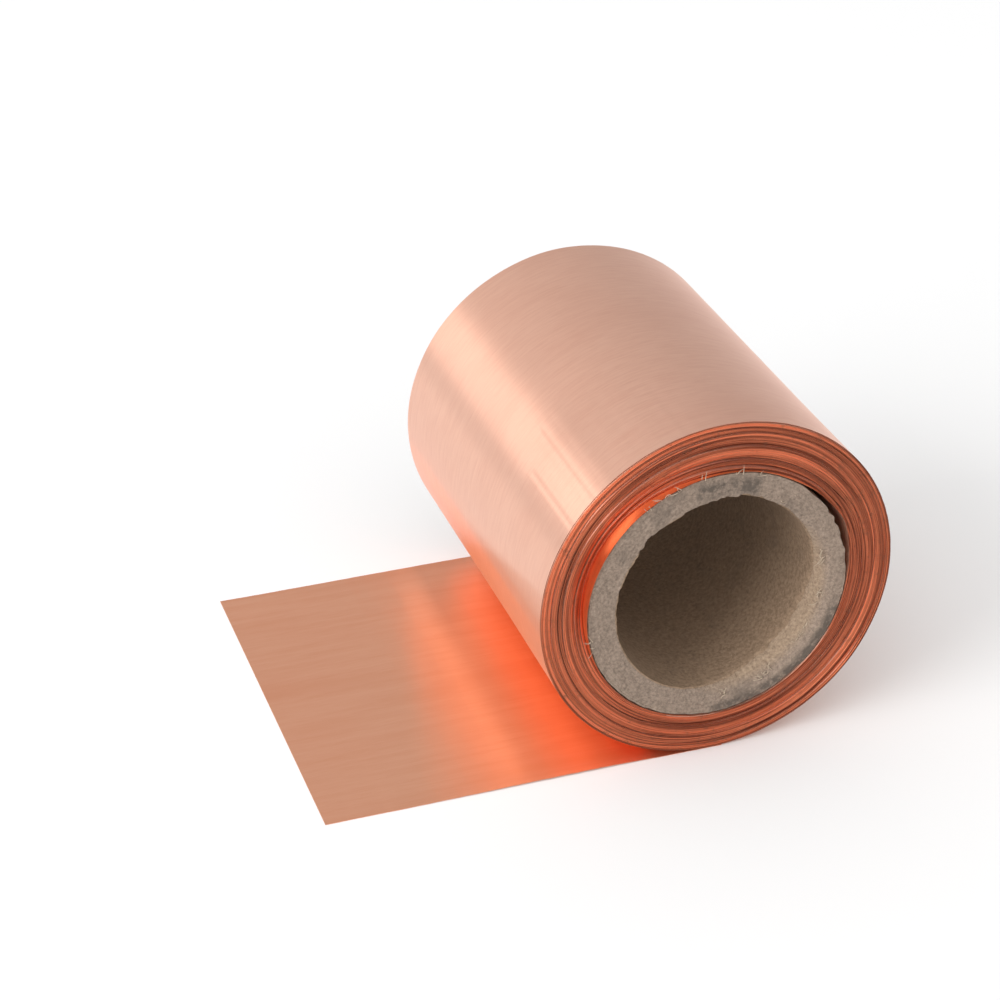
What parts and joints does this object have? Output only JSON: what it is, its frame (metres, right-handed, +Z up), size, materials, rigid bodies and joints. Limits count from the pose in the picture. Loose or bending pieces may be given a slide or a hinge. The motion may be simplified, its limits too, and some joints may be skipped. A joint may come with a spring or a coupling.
{
  "type": "copper foil tape roll",
  "caption": "Wide bare copper foil strip wound in a thick roll on a paperboard core, its free end lying flat; rolls along the bench to pay out or wind up the strip.",
  "frame": {"origin": "centre of the bounding box on the bench, under the strip", "axes": "+Z up from the bench, +Y along the roll's axis away from the end where the core stands proud, +X from the strip's free end towards the roll"},
  "size_m": [0.138, 0.1022, 0.087],
  "materials": {
    "copper_foil": "bare copper, finely brushed along the strip, satin",
    "copper_edges": "bare copper, stacked slit edges, slightly dulled",
    "core_board": "grey-beige greyboard with rough cut ends",
    "liner_paper": "unbleached liner board, matte",
    "kraft_tape": "plain kraft paper tape, matte"
  },
  "bodies": {
    "tail": {"free_tail": "copper_foil"},
    "lead": {"lead_off": "copper_foil"},
    "roll": {"core_liner_ply": "liner_paper", "core_body_ply_1": "core_board", "core_body_ply_2": "core_board", "core_body_ply_3": "core_board", "core_body_ply_4": "core_board", "core_body_ply_5": "core_board", "core_body_ply_6": "core_board", "core_outer_ply": "core_board", "starter_tape": "kraft_tape", "strip_start": "copper_foil", "turn_bundle_1": "copper_edges", "turn_bundle_2": "copper_edges", "turn_bundle_3": "copper_edges", "turn_bundle_4": "copper_edges", "turn_bundle_5": "copper_edges", "turn_bundle_6": "copper_edges", "turn_bundle_7": "copper_edges", "turn_bundle_8": "copper_edges", "outer_turn": "copper_foil"}
  },
  "joints": [
    {"name": "roll_travel", "type": "slide", "parent": "tail", "child": "lead", "axis": [1, 0, 0], "range_m": [-0.04, 0.14], "deforming": ["free_tail"]},
    {"name": "roll_spin", "type": "hinge", "parent": "lead", "child": "roll", "pos_m": [0.02575, 0, 0.04375], "axis": [0, 1, 0], "range_deg": [-60, 190]}
  ],
  "couplings": [
    {"joint": "roll_spin", "follows": "roll_travel", "rad_per_m": 23.095}
  ]
}
